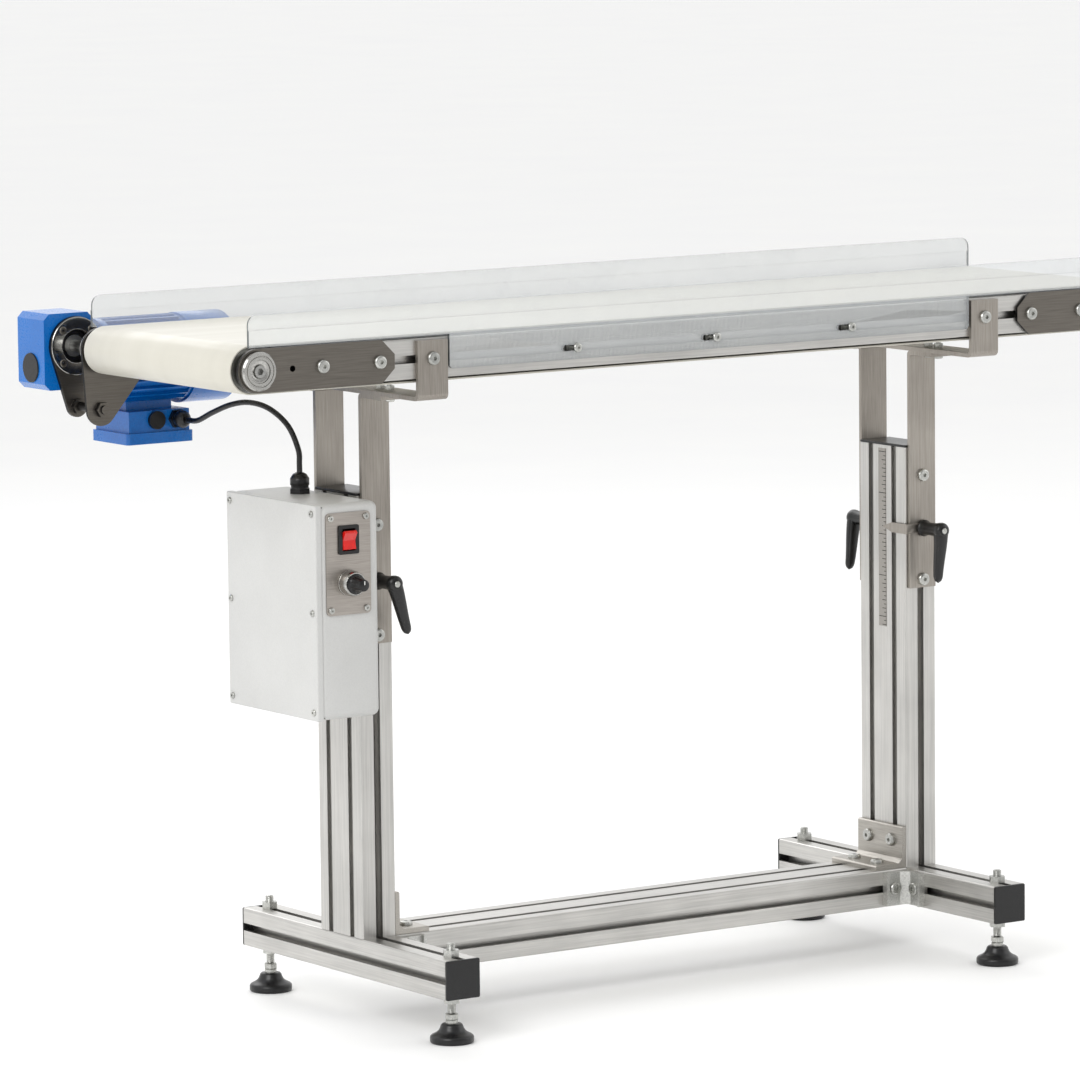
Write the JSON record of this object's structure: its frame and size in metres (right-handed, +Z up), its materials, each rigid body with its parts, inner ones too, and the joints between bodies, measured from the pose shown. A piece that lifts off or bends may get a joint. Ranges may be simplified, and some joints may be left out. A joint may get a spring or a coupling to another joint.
{
  "type": "belt conveyor section",
  "caption": "Short flat-belt conveyor with clear side guards and worm gearmotor, on a height-adjustable stand of slotted aluminium profile with control box.",
  "frame": {"origin": "on the floor, at the centre of the footprint of the whole model's box", "axes": "+X along the belt from the driven end to the tail end, +Y to the gearmotor side, +Z up"},
  "size_m": [1.3092, 0.5268, 0.835],
  "materials": {
    "anodised_profile": "anodised",
    "black_plastic": "moulded",
    "zinc_steel": "zinc plated",
    "cast_bracket": "cast and tumbled",
    "stainless_plate": "brushed",
    "scale_strip": "etched",
    "grey_enamel": "powder coat",
    "machined_steel": "turned",
    "belt_cover": "smooth",
    "clear_sheet": "clear",
    "blue_enamel": "gloss enamel",
    "red_plastic": "gloss",
    "bronze": "cut",
    "board": "matt",
    "cable_jacket": "extruded"
  },
  "bodies": {
    "stand": {"foot_rail_left": "anodised_profile", "foot_rail_right": "anodised_profile", "profile_caps": "black_plastic", "post_left": "anodised_profile", "post_right": "anodised_profile", "base_beam": "anodised_profile", "post_brackets": "stainless_plate", "corner_brackets": "cast_bracket", "stand_fasteners": "zinc_steel", "height_scale": "scale_strip", "box_shell": "grey_enamel", "box_lid": "grey_enamel", "box_fasteners": "zinc_steel", "control_plate": "stainless_plate", "switch_frame": "black_plastic", "speed_control": "zinc_steel", "box_glands": "black_plastic", "motor_drive": "board", "motor_cable": "cable_jacket"},
    "foot_fl": {"foot_front_left": "black_plastic"},
    "foot_fr": {"foot_front_right": "black_plastic"},
    "foot_bl": {"foot_back_left": "black_plastic"},
    "foot_br": {"foot_back_right": "black_plastic"},
    "rocker": {"switch_rocker": "red_plastic"},
    "knob": {"speed_knob": "black_plastic"},
    "conveyor": {"side_rail_front": "anodised_profile", "side_rail_back": "anodised_profile", "cross_ties": "machined_steel", "slider_bed": "machined_steel", "belt": "belt_cover", "head_plate_front": "stainless_plate", "head_plate_back": "stainless_plate", "tail_plates": "stainless_plate", "frame_screws": "zinc_steel", "bearings": "machined_steel", "guard_front": "clear_sheet", "guard_back": "clear_sheet", "guard_screws": "zinc_steel", "support_straps": "stainless_plate", "lift_bars_left": "stainless_plate", "lift_bars_right": "stainless_plate", "guide_bolts": "zinc_steel", "height_pointer": "stainless_plate", "gearbox_housing": "blue_enamel", "gearbox_covers": "black_plastic", "torque_arm": "stainless_plate", "motor_housing": "blue_enamel", "fan_cowl": "blue_enamel", "terminal_box": "blue_enamel", "terminal_fittings": "black_plastic"},
    "drive": {"drive_roller": "machined_steel", "worm_wheel": "bronze"},
    "tail": {"tail_roller": "machined_steel"},
    "rotor": {"motor_rotor": "machined_steel", "cooling_fan": "black_plastic"},
    "lever_lf": {"lever_left_front": "black_plastic"},
    "lever_lb": {"lever_left_back": "black_plastic"},
    "lever_rf": {"lever_right_front": "black_plastic"},
    "lever_rb": {"lever_right_back": "black_plastic"}
  },
  "joints": [
    {"name": "height_adjust", "type": "slide", "parent": "stand", "child": "conveyor", "axis": [0, 0, 1], "range_m": [-0.08, 0.02], "deforming": ["motor_cable"]},
    {"name": "rotor_spin", "type": "hinge", "parent": "conveyor", "child": "rotor", "pos_m": [-0.49265, 0.2106, 0.7477], "axis": [1, 0, 0], "continuous": true},
    {"name": "drive_roller_spin", "type": "hinge", "parent": "conveyor", "child": "drive", "pos_m": [-0.61265, -0.0454, 0.7727], "axis": [0, 1, 0], "continuous": true},
    {"name": "tail_roller_spin", "type": "hinge", "parent": "conveyor", "child": "tail", "pos_m": [0.62735, -0.0454, 0.7727], "axis": [0, 1, 0], "continuous": true},
    {"name": "foot_front_left_screw", "type": "slide", "parent": "stand", "child": "foot_fl", "axis": [0, 0, 1], "range_m": [-0.006, 0.011]},
    {"name": "foot_front_right_screw", "type": "slide", "parent": "stand", "child": "foot_fr", "axis": [0, 0, 1], "range_m": [-0.006, 0.011]},
    {"name": "foot_back_left_screw", "type": "slide", "parent": "stand", "child": "foot_bl", "axis": [0, 0, 1], "range_m": [-0.006, 0.011]},
    {"name": "foot_back_right_screw", "type": "slide", "parent": "stand", "child": "foot_br", "axis": [0, 0, 1], "range_m": [-0.006, 0.011]},
    {"name": "power_switch", "type": "hinge", "parent": "stand", "child": "rocker", "pos_m": [-0.45015, -0.1399, 0.567], "axis": [1, 0, 0], "range_deg": [-20, 0]},
    {"name": "speed_dial", "type": "hinge", "parent": "stand", "child": "knob", "pos_m": [-0.45015, -0.1554, 0.518], "axis": [0, -1, 0], "range_deg": [-20, 260]},
    {"name": "clamp_left_front", "type": "hinge", "parent": "conveyor", "child": "lever_lf", "pos_m": [-0.38265, -0.1154, 0.5102], "axis": [0, 1, 0], "range_deg": [-110, 0]},
    {"name": "clamp_left_back", "type": "hinge", "parent": "conveyor", "child": "lever_lb", "pos_m": [-0.38265, 0.0246, 0.5102], "axis": [0, 1, 0], "range_deg": [-100, 15]},
    {"name": "clamp_right_front", "type": "hinge", "parent": "conveyor", "child": "lever_rf", "pos_m": [0.39735, -0.1154, 0.5102], "axis": [0, 1, 0], "range_deg": [-110, 0]},
    {"name": "clamp_right_back", "type": "hinge", "parent": "conveyor", "child": "lever_rb", "pos_m": [0.39735, 0.0246, 0.5102], "axis": [0, 1, 0], "range_deg": [0, 110]}
  ],
  "couplings": [
    {"joint": "drive_roller_spin", "follows": "rotor_spin", "ratio": 0.05},
    {"joint": "tail_roller_spin", "follows": "rotor_spin", "ratio": 0.05}
  ]
}
